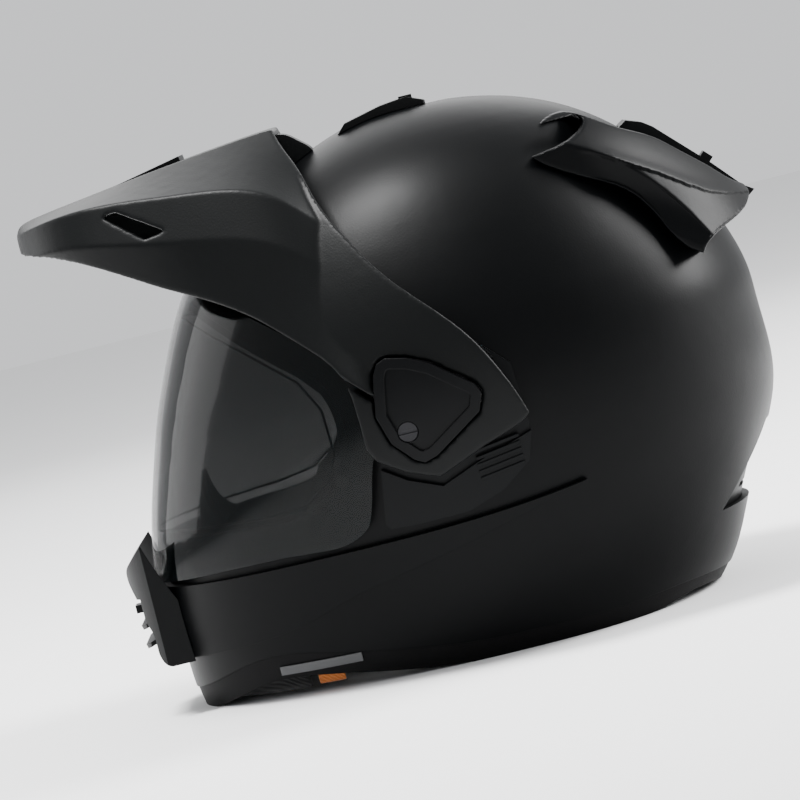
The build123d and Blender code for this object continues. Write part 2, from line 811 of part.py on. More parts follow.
with BuildPart() as peak:
    add(visor_body(0))
    add(visor_body(peak_wall), mode=Mode.SUBTRACT)
    add(form(arm_inside).moved(lift), mode=Mode.SUBTRACT)
    add(peak_arms.part)
    add(peak_outline.part, mode=Mode.INTERSECT)
    for side in (1, -1):
        add(pod_body(0, arm_outside + cut_overrun, arm_inside - cut_overrun, side), mode=Mode.SUBTRACT)
    with BuildSketch(side_plane()):
        with BuildLine():
            Polyline(*side_points(peak_slot_shares), close=True)
        make_face()
    extrude(amount=room, both=True, mode=Mode.SUBTRACT)
finish(peak, "peak")

with BuildPart() as peak_scoop:
    with BuildSketch(side_plane()):
        with BuildLine():
            Polyline(*side_points(scoop_shares), close=True)
        make_face()
    extrude(amount=scoop_half_width, both=True)
    add(visor_body(0), mode=Mode.SUBTRACT)
finish(peak_scoop, "peak_scoop")

with BuildPart() as peak_stay:
    with BuildSketch(side_plane()):
        with BuildLine():
            Polyline(side_points(stay_shares)[-1], *side_points(stay_shares)[:2])
            Spline(*side_points(stay_shares)[1:])
        make_face()
    extrude(amount=stay_half_width, both=True)
    add(peak.part, mode=Mode.SUBTRACT)
    add(form(seat_gap), mode=Mode.SUBTRACT)
finish(peak_stay, "peak_stay")

pod_outside = arm_inside + pod_wall
pod_seat_out = pod_screw_out - pod_screw_head
for side, name in ((1, "side_pod_left"), (-1, "side_pod_right")):
    with BuildPart() as side_pod:
        add(pod_body(pod_gap, pod_outside + pod_ring_rise, arm_inside, side))
        add(pod_body(pod_gap + pod_ring_inset, room, pod_outside, side), mode=Mode.SUBTRACT)
        add(screw_rod(pod_screw_shank + pivot_gap, 0, room, side), mode=Mode.SUBTRACT)
        add(screw_rod(pod_screw_radius + pivot_gap, pod_seat_out, room, side), mode=Mode.SUBTRACT)
    finish(side_pod, name)

with BuildPart() as pod_screws:
    for side in (1, -1):
        add(screw_rod(pod_screw_radius, pod_seat_out + seat_gap, pod_screw_head - seat_gap, side))
        add(screw_rod(pod_screw_shank, pod_screw_start, pod_seat_out + seat_gap - pod_screw_start, side))
        with BuildSketch(side_plane(side * (pod_screw_out - screw_slot_depth))):
            with Locations((-pod_screw_forward, pod_screw_height)):
                Rectangle(2 * pod_screw_radius, screw_slot_width)
        extrude(amount=side * room, mode=Mode.SUBTRACT)
finish(pod_screws, "pod_screws")

# Chin vent: hooded housing, louvres, mesh and a shutter with a finger nub
with BuildPart() as shield_swing:
    with BuildSketch(Plane(origin=(0, head_axis_back - pivot_forward, pivot_height), x_dir=(1, 0, 0))):
        with BuildLine():
            ThreePointArc((-swing_half_width, swing_flank), (0, swing_nose), (swing_half_width, swing_flank))
            Polyline(
                (swing_half_width, swing_flank), (swing_half_width, 0), (-swing_half_width, 0),
                (-swing_half_width, swing_flank),
            )
        make_face()
    revolve(axis=Axis((0, head_axis_back - pivot_forward, pivot_height), (1, 0, 0)))

with BuildPart() as chin_vent_housing:
    with BuildSketch(side_plane()):
        with BuildLine():
            Spline(*side_points(chin_vent_front_shares))
            Polyline(*side_points(chin_vent_rear_shares))
        make_face()
    extrude(amount=chin_vent_half_width, both=True)
    add(form(belt_rise + seat_gap), mode=Mode.SUBTRACT)
    add(shield_swing.part, mode=Mode.SUBTRACT)
    add(block(chin_window_half_width, chin_window_low, chin_window_high, -room, 0), mode=Mode.SUBTRACT)
    for louver_share in louver_shares:
        level = chin_window_low + louver_share * (chin_window_high - chin_window_low)
        with BuildSketch(side_plane()):
            with Locations((-louver_forward, level)):
                Rectangle(louver_depth, louver_thickness, rotation=louver_tilt)
        extrude(amount=chin_window_half_width, both=True)
    with BuildSketch(level_plane(0)):
        with BuildLine():
            ThreePointArc(
                (-chin_vent_half_width, -chin_vent_flank), (0, -chin_vent_nose),
                (chin_vent_half_width, -chin_vent_flank),
            )
            Polyline(
                (chin_vent_half_width, -chin_vent_flank), (chin_vent_half_width, 0), (-chin_vent_half_width, 0),
                (-chin_vent_half_width, -chin_vent_flank),
            )
        make_face()
    extrude(amount=room, mode=Mode.INTERSECT)
finish(chin_vent_housing, "chin_vent_housing")

with BuildPart() as chin_vent_mesh:
    with BuildSketch(front_plane(-mesh_forward)):
        mesh_middle = (chin_window_low + chin_window_high) / 2
        with Locations((0, mesh_middle)):
            Rectangle(
                2 * (chin_window_half_width - seat_gap), chin_window_high - chin_window_low - 2 * seat_gap
            )
            with GridLocations(mesh_pitch, mesh_pitch, mesh_columns, mesh_rows):
                Circle(mesh_hole_radius, mode=Mode.SUBTRACT)
    extrude(amount=mesh_wall)
finish(chin_vent_mesh, "chin_vent_mesh")

with BuildPart() as chin_vent_shutter:
    with BuildSketch(front_plane(-shutter_forward + shutter_wall / 2)):
        with Locations((0, (shutter_low + shutter_high) / 2)):
            Rectangle(2 * (chin_window_half_width - 2 * seat_gap), shutter_high - shutter_low)
    extrude(amount=shutter_wall)
    with BuildSketch(front_plane(-shutter_forward)):
        with Locations((0, shutter_nub_level)):
            Rectangle(shutter_nub_width, shutter_nub_height)
    extrude(amount=shutter_nub_reach)
finish(chin_vent_shutter, "chin_vent_shutter")

# Crown vent
with BuildPart() as crown_vent_base:
    with BuildSketch(level_plane(crown_vent_start)):
        with BuildLine():
            front, rear = crown_vent_shares[0][0] * chin_reach, crown_vent_shares[-1][0] * chin_reach
            Polyline(
                (-crown_vent_front_half, front),
                (crown_vent_front_half, front),
                (crown_vent_rear_half, rear),
                (-crown_vent_rear_half, rear),
                close=True,
            )
        make_face()
        fillet(vertices(), radius=crown_slider_back)
    extrude(amount=room)
    add(side_body(crown_vent_shares), mode=Mode.INTERSECT)
    add(form(crown_vent_rise), mode=Mode.INTERSECT)
    add(form(seat_gap), mode=Mode.SUBTRACT)
    slot_front = -crown_slider_back - crown_slider_length - crown_slider_travel - seat_gap
    add(
        block(
            crown_slider_half_width + seat_gap, crown_slider_floor, room,
            slot_front, -crown_slider_back + seat_gap,
        ),
        mode=Mode.SUBTRACT,
    )
finish(crown_vent_base, "crown_vent_base")

with BuildPart() as crown_vent_slider:
    add(
        block(
            crown_slider_half_width, crown_slider_floor + seat_gap, crown_slider_top,
            -crown_slider_back - crown_slider_length, -crown_slider_back,
        )
    )
finish(crown_vent_slider, "crown_vent_slider")

# Rear diffusers: the form moved back makes a tail that stands off towards the rear
tail = Location((0, tail_shift, 0))
with BuildPart() as rear_diffuser_left:
    with BuildSketch(side_plane(diffuser_inner)):
        with BuildLine():
            Spline(*side_points(diffuser_top_shares))
            Spline(*side_points(diffuser_low_shares[:4]))
            Spline(*side_points(diffuser_low_shares[3:]))
        make_face()
    extrude(amount=diffuser_outer - diffuser_inner)
    add(form(tail_outset).moved(tail), mode=Mode.INTERSECT)
    add(form(seat_gap), mode=Mode.SUBTRACT)
    with BuildPart(mode=Mode.PRIVATE) as intake:
        with BuildSketch(side_plane(diffuser_inner + intake_inset)):
            with Locations((diffuser_top_shares[2][0] * chin_reach, shell_height)):
                Rectangle(intake_length, shell_height)
        extrude(amount=diffuser_outer - diffuser_inner - intake_margin)
        add(form(tail_outset - intake_wall).moved(tail), mode=Mode.INTERSECT)
        add(form(intake_floor), mode=Mode.SUBTRACT)
        add(block(room, 0, room, 0, diffuser_top_shares[2][0] * chin_reach), mode=Mode.INTERSECT)
    add(intake.part, mode=Mode.SUBTRACT)
finish(rear_diffuser_left, "rear_diffuser_left")

with BuildPart() as rear_diffuser_right:
    add(mirror(rear_diffuser_left.part, about=Plane.YZ))
finish(rear_diffuser_right, "rear_diffuser_right")

slope_top = side_points(duct_shares)[3]
slope_foot = side_points(duct_shares)[4]
slope_length = math.dist(slope_top, slope_foot)
slope_back = (slope_foot[0] - slope_top[0]) / slope_length
slope_down = (slope_top[1] - slope_foot[1]) / slope_length
slope_plane = Plane(
    origin=(
        0,
        head_axis_back + slope_top[0] + duct_slider_place * (slope_foot[0] - slope_top[0]),
        slope_top[1] + duct_slider_place * (slope_foot[1] - slope_top[1]),
    ),
    x_dir=(1, 0, 0),
    z_dir=(0, slope_down, slope_back),
)
with BuildPart() as rear_centre_duct:
    with BuildSketch(side_plane()):
        with BuildLine():
            Polyline(*side_points(duct_shares), close=True)
        make_face()
    extrude(amount=duct_half_width, both=True)
    add(form(seat_gap), mode=Mode.SUBTRACT)
    with BuildSketch(slope_plane.offset(-duct_slider_depth)):
        with Locations((0, -duct_slider_travel / 2)):
            Rectangle(
                2 * (duct_slider_half_width + seat_gap), duct_slider_length + duct_slider_travel + 2 * seat_gap
            )
    extrude(amount=room, mode=Mode.SUBTRACT)
finish(rear_centre_duct, "rear_centre_duct")

with BuildPart() as rear_duct_slider:
    with BuildSketch(slope_plane.offset(-duct_slider_depth + seat_gap)):
        Rectangle(2 * duct_slider_half_width, duct_slider_length)
    extrude(amount=duct_slider_depth + duct_slider_rise)
finish(rear_duct_slider, "rear_duct_slider")

with BuildPart() as rear_exhaust_vent:
    add(layer(-foam_outside, -foam_outside - exhaust_wall))
    add(nape_body(exhaust_lap), mode=Mode.INTERSECT)
    for index in range(louver_count):
        level = recess_low + (index + 0.5) * (recess_high - recess_low) / louver_count
        slot_half = exhaust_slot_half - index * louver_thickness
        add(block(slot_half, level, level + louver_thickness, 0, room), mode=Mode.SUBTRACT)
finish(rear_exhaust_vent, "rear_exhaust_vent")

# Chin strap, its rings, anchors and snap
strap_upper = strap_anchor_height + rivet_radius
strap_bend = strap_anchor_height - rivet_radius / 2


def strap_body(end, side):
    """Webbing that drops from its anchor to the floor of the opening and lies along it."""
    with BuildPart() as body:
        with BuildSketch(front_plane(-strap_forward)):
            with BuildLine():
                Polyline(
                    (side * strap_anchor_out, strap_upper),
                    (side * strap_anchor_out, strap_bend),
                    (side * strap_bend_out, strap_floor),
                    (end, strap_floor),
                    (end, strap_floor + strap_wall),
                    (side * (strap_bend_out - strap_wall / 2), strap_floor + strap_wall),
                    (side * (strap_anchor_out - strap_wall), strap_bend + strap_wall / 2),
                    (side * (strap_anchor_out - strap_wall), strap_upper),
                    close=True,
                )
            make_face()
        extrude(amount=strap_width / 2, both=True)
    return body.part


ring_axis_out = left_strap_end - ring_rod
ring_axis_height = strap_floor + ring_rod
loop_outer = left_strap_end + ring_rod
loop_inner = ring_axis_out - ring_spacing / 2 - ring_rod / 2 - loop_wall - pivot_gap
loop_top = ring_axis_height + ring_spacing + ring_rod / 2 + loop_wall + pivot_gap
with BuildPart() as chin_strap_left:
    add(strap_body(loop_outer - cut_overrun, 1))
    with BuildSketch(front_plane(-strap_forward)):
        with BuildLine():
            Polyline(
                (loop_inner, strap_floor), (loop_outer, strap_floor), (loop_outer, loop_top),
                (loop_inner, loop_top), close=True,
            )
        make_face()
        offset(amount=-loop_wall, mode=Mode.SUBTRACT)
    extrude(amount=strap_width / 2, both=True)
    with BuildSketch(front_plane(-strap_forward)):
        with BuildLine():
            Polyline(
                (loop_inner + loop_wall, strap_floor + loop_wall),
                (loop_outer - loop_wall, strap_floor + loop_wall),
                (loop_outer - loop_wall, loop_top - loop_wall),
                (loop_inner + loop_wall, loop_top - loop_wall),
                close=True,
            )
        make_face()
    extrude(amount=strap_width / 2, both=True, mode=Mode.SUBTRACT)
finish(chin_strap_left, "chin_strap_left")

with BuildPart() as chin_strap_right:
    add(strap_body(right_strap_end, -1))
finish(chin_strap_right, "chin_strap_right")

with BuildPart() as d_rings:
    for index in range(2):
        height = ring_axis_height + index * ring_spacing
        half = ring_width / 2 - ring_rod / 2
        reach = ring_length - ring_rod
        with BuildLine() as loop_path:
            first = (ring_axis_out, head_axis_back - strap_forward - half, height)
            second = (ring_axis_out, head_axis_back - strap_forward + half, height)
            tip = (ring_axis_out - reach, head_axis_back - strap_forward, height)
            Line(first, second)
            ThreePointArc(second, tip, first)
        with BuildSketch(Plane(origin=(ring_axis_out, head_axis_back - strap_forward, height), z_dir=(0, 1, 0))):
            Circle(ring_rod / 2)
        sweep(path=loop_path.wires()[0], transition=Transition.ROUND)
finish(d_rings, "d_rings")

with BuildPart() as strap_rivets:
    for side in (1, -1):
        with BuildSketch(side_plane(side * strap_anchor_out)):
            with Locations((-strap_forward, strap_anchor_height)):
                Circle(rivet_radius)
        extrude(amount=side * rivet_wall)
finish(strap_rivets, "strap_rivets")

with BuildPart() as strap_snap:
    with BuildSketch(level_plane(strap_floor + strap_wall)):
        with Locations((right_strap_end - 2 * snap_radius, -strap_forward)):
            Circle(snap_radius)
    extrude(amount=snap_wall)
finish(strap_snap, "strap_snap")

with BuildPart() as release_tabs:
    add(layer(-curtain_outside, -curtain_outside - tab_wall))
    with BuildSketch(level_plane(rim_floor_shares[4][1] * shell_height - tab_drop)):
        with Locations((0, -tab_forward)):
            Rectangle(2 * room, tab_length)
    extrude(amount=tab_drop + tab_rise, mode=Mode.INTERSECT)
finish(release_tabs, "release_tabs")

with BuildPart() as side_strips:
    add(layer(-trim_inset + strip_wall + seat_gap / 2, -trim_inset + seat_gap / 2))
    with BuildSketch(level_plane(strip_level - strip_height / 2)):
        with Locations((0, -strip_forward)):
            Rectangle(2 * room, strip_length)
    extrude(amount=strip_height, mode=Mode.INTERSECT)
finish(side_strips, "side_strips")
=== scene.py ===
import json
import math
import bpy
import bmesh
from mathutils import Matrix, Vector
from mathutils.bvhtree import BVHTree


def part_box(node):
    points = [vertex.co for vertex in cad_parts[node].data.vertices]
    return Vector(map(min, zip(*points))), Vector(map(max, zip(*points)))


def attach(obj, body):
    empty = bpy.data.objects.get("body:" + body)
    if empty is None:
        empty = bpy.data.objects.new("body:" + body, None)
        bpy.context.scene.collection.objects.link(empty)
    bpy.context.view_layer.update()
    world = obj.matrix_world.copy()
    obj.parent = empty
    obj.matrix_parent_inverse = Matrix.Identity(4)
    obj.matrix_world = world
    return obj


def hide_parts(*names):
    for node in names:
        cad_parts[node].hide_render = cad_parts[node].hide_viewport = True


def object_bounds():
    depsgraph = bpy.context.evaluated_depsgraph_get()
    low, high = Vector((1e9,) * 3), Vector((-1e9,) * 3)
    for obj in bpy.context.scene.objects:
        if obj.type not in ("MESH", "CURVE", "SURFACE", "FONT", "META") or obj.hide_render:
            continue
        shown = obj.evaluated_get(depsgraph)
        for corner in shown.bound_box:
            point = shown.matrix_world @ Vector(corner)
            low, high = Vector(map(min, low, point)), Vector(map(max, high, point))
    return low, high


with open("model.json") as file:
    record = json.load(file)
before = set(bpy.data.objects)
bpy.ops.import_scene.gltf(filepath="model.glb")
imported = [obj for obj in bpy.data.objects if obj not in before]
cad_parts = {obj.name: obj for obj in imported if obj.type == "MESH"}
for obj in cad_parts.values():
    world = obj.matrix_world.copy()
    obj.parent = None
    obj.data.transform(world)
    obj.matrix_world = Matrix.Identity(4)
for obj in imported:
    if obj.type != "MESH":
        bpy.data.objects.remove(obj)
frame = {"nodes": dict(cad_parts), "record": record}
cad_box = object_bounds()
nodes = frame["nodes"]

# Lengths are in millimetres unless a name says otherwise, and MM turns them into metres
MM = 0.001
HEAD_BACK = 26.0        # the head's axis lies this far behind the origin
SIDES = ((1, "left"), (-1, "right"))

# Camera: the photograph is taken from the wearer's left, a little from above, with the helmet tipped forward
PHOTO_WIDTH = 800.0     # pixels
PIXELS_PER_MM = 2.22    # at the helmet's middle plane
SENSOR_WIDTH = 36.0
DISTANCE = 2200.0
TILT = math.radians(14.07)
LIFT = math.radians(4.0)
PIVOT_HEIGHT = 110.1    # the tilt turns about the head's axis at this height
AIM_BACK = -39.2        # the photograph's middle from that point, along the tipped level line
AIM_UP = -8.1           # and at right angles to it
CLIP_NEAR, CLIP_FAR = 0.05, 50.0    # metres


def add_camera():
    """Places the camera at the photograph's viewing angle."""
    depth = AIM_UP + DISTANCE * math.sin(LIFT)
    eye = Vector((
        DISTANCE * math.cos(LIFT),
        HEAD_BACK + math.cos(TILT) * AIM_BACK + math.sin(TILT) * depth,
        PIVOT_HEIGHT - math.sin(TILT) * AIM_BACK + math.cos(TILT) * depth,
    )) * MM
    gaze = Vector((-math.cos(LIFT), -math.sin(LIFT) * math.sin(TILT), -math.sin(LIFT) * math.cos(TILT)))
    right = Vector((0, math.cos(TILT), -math.sin(TILT)))
    over = right.cross(gaze)
    data = bpy.data.cameras.new("camera")
    data.sensor_width = SENSOR_WIDTH
    data.lens = SENSOR_WIDTH * PIXELS_PER_MM * DISTANCE / PHOTO_WIDTH
    data.clip_start, data.clip_end = CLIP_NEAR, CLIP_FAR
    camera = bpy.data.objects.new("camera", data)
    bpy.context.collection.objects.link(camera)
    camera.matrix_world = Matrix((
        (right.x, over.x, -gaze.x, eye.x),
        (right.y, over.y, -gaze.y, eye.y),
        (right.z, over.z, -gaze.z, eye.z),
        (0, 0, 0, 1),
    ))
    bpy.context.scene.camera = camera


add_camera()

# Materials
CLOUD_SCALE, CLOUD_DETAIL = 14.0, 4.0    # of the soft mottle in colour and roughness
GRAIN_DETAIL = 2.0
WEAVE_DISTORTION, WEAVE_SHADE = 0.6, 0.45
RELIEF_DEPTH = 0.4
EDGE_SAMPLES = 4
CREASE_ANGLE = math.radians(32)


def add_node(tree, kind, inputs=None, **settings):
    """New shader node with its settings and the values of its inputs."""
    node = tree.nodes.new("ShaderNode" + kind)
    for key, value in settings.items():
        setattr(node, key, value)
    for key, value in (inputs or {}).items():
        node.inputs[key].default_value = value
    return node


def weave_relief(tree, place, scale):
    """Height of two crossed directions of threads."""
    crossed = add_node(tree, "Math", operation="MULTIPLY")
    for number, turn in enumerate((0.0, math.pi / 2)):
        turned = add_node(tree, "Mapping", {"Rotation": (turn, turn, turn)})
        wave = add_node(
            tree, "TexWave", {"Scale": scale, "Distortion": WEAVE_DISTORTION}, bands_direction="DIAGONAL"
        )
        tree.links.new(place, turned.inputs["Vector"])
        tree.links.new(turned.outputs["Vector"], wave.inputs["Vector"])
        tree.links.new(wave.outputs["Fac"], crossed.inputs[number])
    return crossed.outputs["Value"]


def grain_relief(tree, place, scale):
    """Height of a fine moulded or painted grain."""
    fine = add_node(tree, "TexNoise", {"Scale": scale, "Detail": GRAIN_DETAIL})
    tree.links.new(place, fine.inputs["Vector"])
    return fine.outputs["Fac"]


def shader(name, colour, rough, metallic=0.0, specular=0.5, sheen=0.0, alpha=1.0,
           grain=1200.0, bump=0.02, mottle=0.10, rough_spread=0.06, weave=0.0, edge=0.0):
    """Procedural material: mottled colour, grain or weave, uneven roughness and rounded edges."""
    material = bpy.data.materials.new(name)
    material.use_nodes = True
    tree = material.node_tree
    bsdf = tree.nodes["Principled BSDF"]
    bsdf.inputs["Metallic"].default_value = metallic
    bsdf.inputs["Specular IOR Level"].default_value = specular
    bsdf.inputs["Sheen Weight"].default_value = sheen
    bsdf.inputs["Alpha"].default_value = alpha
    place = add_node(tree, "TexCoord").outputs["Object"]
    cloud = add_node(tree, "TexNoise", {"Scale": CLOUD_SCALE, "Detail": CLOUD_DETAIL})
    tree.links.new(place, cloud.inputs["Vector"])
    low = [c * (1 - mottle) for c in colour]
    high = [min(1.0, c * (1 + mottle)) for c in colour]
    tint = add_node(tree, "Mix", data_type="RGBA")
    tint.inputs["A"].default_value = (*low, 1)
    tint.inputs["B"].default_value = (*high, 1)
    tree.links.new(cloud.outputs["Fac"], tint.inputs["Factor"])
    if weave > 0:
        relief = weave_relief(tree, place, weave)
        shade = add_node(tree, "Mix", data_type="RGBA", blend_type="MULTIPLY")
        shade.inputs["Factor"].default_value = WEAVE_SHADE
        tree.links.new(tint.outputs["Result"], shade.inputs["A"])
        tree.links.new(relief, shade.inputs["B"])
        tree.links.new(shade.outputs["Result"], bsdf.inputs["Base Color"])
    else:
        relief = grain_relief(tree, place, grain)
        tree.links.new(tint.outputs["Result"], bsdf.inputs["Base Color"])
    spread = add_node(tree, "MapRange", {
        "To Min": max(0.0, rough - rough_spread),
        "To Max": min(1.0, rough + rough_spread),
    })
    tree.links.new(cloud.outputs["Fac"], spread.inputs["Value"])
    tree.links.new(spread.outputs["Result"], bsdf.inputs["Roughness"])
    bumps = add_node(tree, "Bump", {"Strength": bump, "Distance": RELIEF_DEPTH * MM})
    tree.links.new(relief, bumps.inputs["Height"])
    if edge > 0:
        rounded = add_node(tree, "Bevel", {"Radius": edge * MM}, samples=EDGE_SAMPLES)
        tree.links.new(rounded.outputs["Normal"], bumps.inputs["Normal"])
    tree.links.new(bumps.outputs["Normal"], bsdf.inputs["Normal"])
    return material


finishes = {
    "shell_black": dict(colour=(0.0006, 0.0008, 0.0010), rough=0.38, specular=0.07, bump=0.10, edge=0.5),
    "trim_rubber": dict(colour=(0.0018, 0.0018, 0.0020), rough=0.55, specular=0.07, bump=0.25, edge=0.5),
    "foam_black": dict(colour=(0.006, 0.0062, 0.0066), rough=0.85, specular=0.15, grain=420.0, bump=0.6),
    "lining_fabric": dict(
        colour=(0.0065, 0.0068, 0.0075), rough=0.9, specular=0.15, sheen=0.12, weave=420.0, bump=0.8),
    "curtain_fabric": dict(
        colour=(0.005, 0.005, 0.0055), rough=0.9, specular=0.15, sheen=0.12, weave=500.0, bump=0.8),
    "shield_smoke": dict(
        colour=(0.0008, 0.0016, 0.0018), rough=0.06, specular=0.16, alpha=0.63, bump=0.0, mottle=0.03,
        rough_spread=0.01),
    "insert_clear": dict(
        colour=(0.004, 0.006, 0.0065), rough=0.10, specular=0.1, alpha=0.06, bump=0.0, mottle=0.03,
        rough_spread=0.01),
    "insert_pin": dict(colour=(0.012, 0.012, 0.013), rough=0.35, bump=0.05),
    "plate_black": dict(colour=(0.0012, 0.0015, 0.0018), rough=0.38, specular=0.08, bump=0.12, edge=0.4),
    "peak_black": dict(colour=(0.0016, 0.0020, 0.0021), rough=0.42, specular=0.11, bump=0.14, edge=0.5),
    "pod_black": dict(colour=(0.0012, 0.0014, 0.0017), rough=0.34, specular=0.09, bump=0.05, edge=0.7),
    "vent_black": dict(colour=(0.0014, 0.0017, 0.0019), rough=0.42, specular=0.10, bump=0.12, edge=0.4),
    "screw_steel": dict(
        colour=(0.030, 0.030, 0.032), rough=0.34, metallic=1.0, grain=2600.0, bump=0.1, edge=0.3),
    "ring_steel": dict(colour=(0.50, 0.50, 0.52), rough=0.28, metallic=1.0, grain=2600.0, bump=0.1),
    "webbing": dict(
        colour=(0.006, 0.006, 0.0065), rough=0.85, specular=0.2, sheen=0.15, weave=380.0, bump=1.0),
    "tab_orange": dict(
        colour=(0.60, 0.17, 0.02), rough=0.75, specular=0.25, sheen=0.2, weave=520.0, bump=0.8),
    "strip_grey": dict(colour=(0.022, 0.023, 0.025), rough=0.38, bump=0.05, edge=0.3),
}
looks = {name: shader(name, **finish) for name, finish in finishes.items()}
slot_of = {entry["node"]: entry["material_slot"] for entry in frame["record"]["subparts"]}
for name, node in nodes.items():
    node.data.materials.clear()
    node.data.materials.append(looks[slot_of[name]])
    for face in node.data.polygons:
        face.use_smooth = True
    crease = node.modifiers.new("crease", "EDGE_SPLIT")
    crease.split_angle = CREASE_ANGLE

# Floor and light, in metres and watts
FLOOR_REACH = 4.0
LAMP_TARGET = Vector((0.0, 0.0, 0.12))
lamps = {
    "key": dict(place=(0.10, -0.42, 1.45), size=(0.36, 0.46), power=50.0),
    "sky": dict(place=(0.2, -0.2, 2.0), size=(1.6, 1.6), power=11.0),
    "front": dict(place=(-0.8, -1.5, 0.6), size=(0.9, 1.0), power=6.0),
    "rear": dict(place=(-0.30, 1.35, 0.85), size=(0.6, 1.1), power=62.0),
    "far": dict(place=(-1.5, -0.1, 0.95), size=(1.3, 0.9), power=9.0),
}
WORLD_COLOUR, WORLD_STRENGTH = (0.95, 0.96, 0.98, 1), 0.95


def add_floor():
    """Pale floor under the helmet."""
    reach = FLOOR_REACH
    mesh = bpy.data.meshes.new("floor")
    mesh.from_pydata(
        [(-reach, -reach, 0), (reach, -reach, 0), (reach, reach, 0), (-reach, reach, 0)], [], [(0, 1, 2, 3)]
    )
    mesh.materials.append(
        shader("floor_pale", (0.86, 0.86, 0.86), 0.9, specular=0.1, grain=60.0, bump=0.02, mottle=0.01)
    )
    floor = bpy.data.objects.new("floor", mesh)
    floor.location.z = cad_box[0][2]
    bpy.context.collection.objects.link(floor)


def softbox(name, place, size, power):
    """Large soft lamp aimed at the helmet."""
    data = bpy.data.lights.new(name, "AREA")
    data.shape = "RECTANGLE"
    data.size, data.size_y = size
    data.energy = power
    lamp = bpy.data.objects.new(name, data)
    lamp.location = place
    lamp.rotation_euler = (LAMP_TARGET - Vector(place)).to_track_quat("-Z", "Y").to_euler()
    bpy.context.collection.objects.link(lamp)


def add_world():
    """Plain pale surroundings."""
    world = bpy.data.worlds.new("studio")
    world.use_nodes = True
    background = world.node_tree.nodes["Background"]
    background.inputs["Color"].default_value = WORLD_COLOUR
    background.inputs["Strength"].default_value = WORLD_STRENGTH
    bpy.context.scene.world = world


add_floor()
for name, lamp in lamps.items():
    softbox(name, **lamp)
add_world()

# Tools for the dressed pieces
CURVE_STEPS = 12
TINY = 1e-9
STEEP = 0.9             # a path this steep takes its side from the X axis
BAND_PROFILE = ((1.0, 0.0), (1.0, 0.55), (0.92, 1.0), (0.5, 1.0))    # shares of half width and wall
PAD_ROUNDS = 4          # of smoothing, before a pad is swollen


def linked(name, mesh):
    """New object in the scene."""
    thing = bpy.data.objects.new(name, mesh)
    bpy.context.collection.objects.link(thing)
    return thing


def new_piece(name, mesh, slot, replaced=(), body="helmet"):
    """Links a mesh as a piece of the object."""
    piece = linked(name, mesh)
    mesh.materials.clear()
    mesh.materials.append(looks[slot])
    for face in mesh.polygons:
        face.use_smooth = True
        face.material_index = 0
    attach(piece, body)
    if replaced:
        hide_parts(*replaced)
    return piece


def baked(piece):
    """The piece's mesh with its modifiers applied."""
    bpy.context.view_layer.update()
    graph = bpy.context.evaluated_depsgraph_get()
    return bpy.data.meshes.new_from_object(piece.evaluated_get(graph))


def remeshed(name, voxel, rounds, cutter=None):
    """A node's form, less a cutter's, as an even mesh with softened edges."""
    helper = linked("helper", nodes[name].data.copy())
    if cutter:
        cut = helper.modifiers.new("cut", "BOOLEAN")
        cut.operation = "DIFFERENCE"
        cut.object = cutter
    grid = helper.modifiers.new("grid", "REMESH")
    grid.mode = "VOXEL"
    grid.voxel_size = voxel * MM
    soften = helper.modifiers.new("soften", "SMOOTH")
    soften.iterations = rounds
    mesh = baked(helper)
    bpy.data.objects.remove(helper)
    return mesh


def smooth_path(points, count, closed=False):
    """Evenly spread points along a Catmull-Rom curve through the given ones."""
    total = len(points)
    dense = []
    for i in range(total if closed else total - 1):
        before = points[(i - 1) % total] if closed or i > 0 else points[i]
        here, there = points[i], points[(i + 1) % total]
        after = points[(i + 2) % total] if closed or i + 2 < total else there
        for step in range(CURVE_STEPS):
            t = step / CURVE_STEPS
            dense.append(0.5 * (
                2 * here + (there - before) * t + (2 * before - 5 * here + 4 * there - after) * t ** 2
                + (3 * here - before - 3 * there + after) * t ** 3
            ))
    dense.append(points[0] if closed else points[-1])
    lengths = [0.0]
    for a, b in zip(dense, dense[1:]):
        lengths.append(lengths[-1] + (b - a).length)
    spread = []
    last = 0
    for k in range(count):
        want = lengths[-1] * k / (count if closed else count - 1)
        while last < len(dense) - 2 and lengths[last + 1] < want:
            last += 1
        span = max(lengths[last + 1] - lengths[last], TINY)
        spread.append(dense[last].lerp(dense[last + 1], min(1.0, (want - lengths[last]) / span)))
    return spread


def skin(name, rings, closed_ring=True, closed_path=False):
    """Mesh through rows of points, capped where its rings are closed and its path isn't."""
    mesh = bpy.data.meshes.new(name)
    build = bmesh.new()
    rows = [[build.verts.new(p) for p in ring] for ring in rings]
    around = len(rows[0])
    for i in range(len(rows) if closed_path else len(rows) - 1):
        first, second = rows[i], rows[(i + 1) % len(rows)]
        for k in range(around if closed_ring else around - 1):
            build.faces.new((first[k], first[(k + 1) % around], second[(k + 1) % around], second[k]))
    if closed_ring and not closed_path:
        build.faces.new(rows[0][::-1])
        build.faces.new(rows[-1])
    bmesh.ops.recalc_face_normals(build, faces=build.faces)
    build.to_mesh(mesh)
    build.free()
    return mesh


def tube(name, points, radius, sides=8, closed=False):
    """Thin bead along points."""
    rings = []
    count = len(points)
    turns = [2 * math.pi * k / sides for k in range(sides)]
    for i, point in enumerate(points):
        ahead = points[(i + 1) % count] if closed or i + 1 < count else point
        behind = points[i - 1] if closed or i > 0 else point
        along = (ahead - behind).normalized()
        lift = Vector((0, 0, 1)) if abs(along.z) < STEEP else Vector((1, 0, 0))
        wide = along.cross(lift).normalized()
        high = wide.cross(along)
        rings.append([point + radius * (math.cos(turn) * wide + math.sin(turn) * high) for turn in turns])
    return skin(name, rings, closed_path=closed)


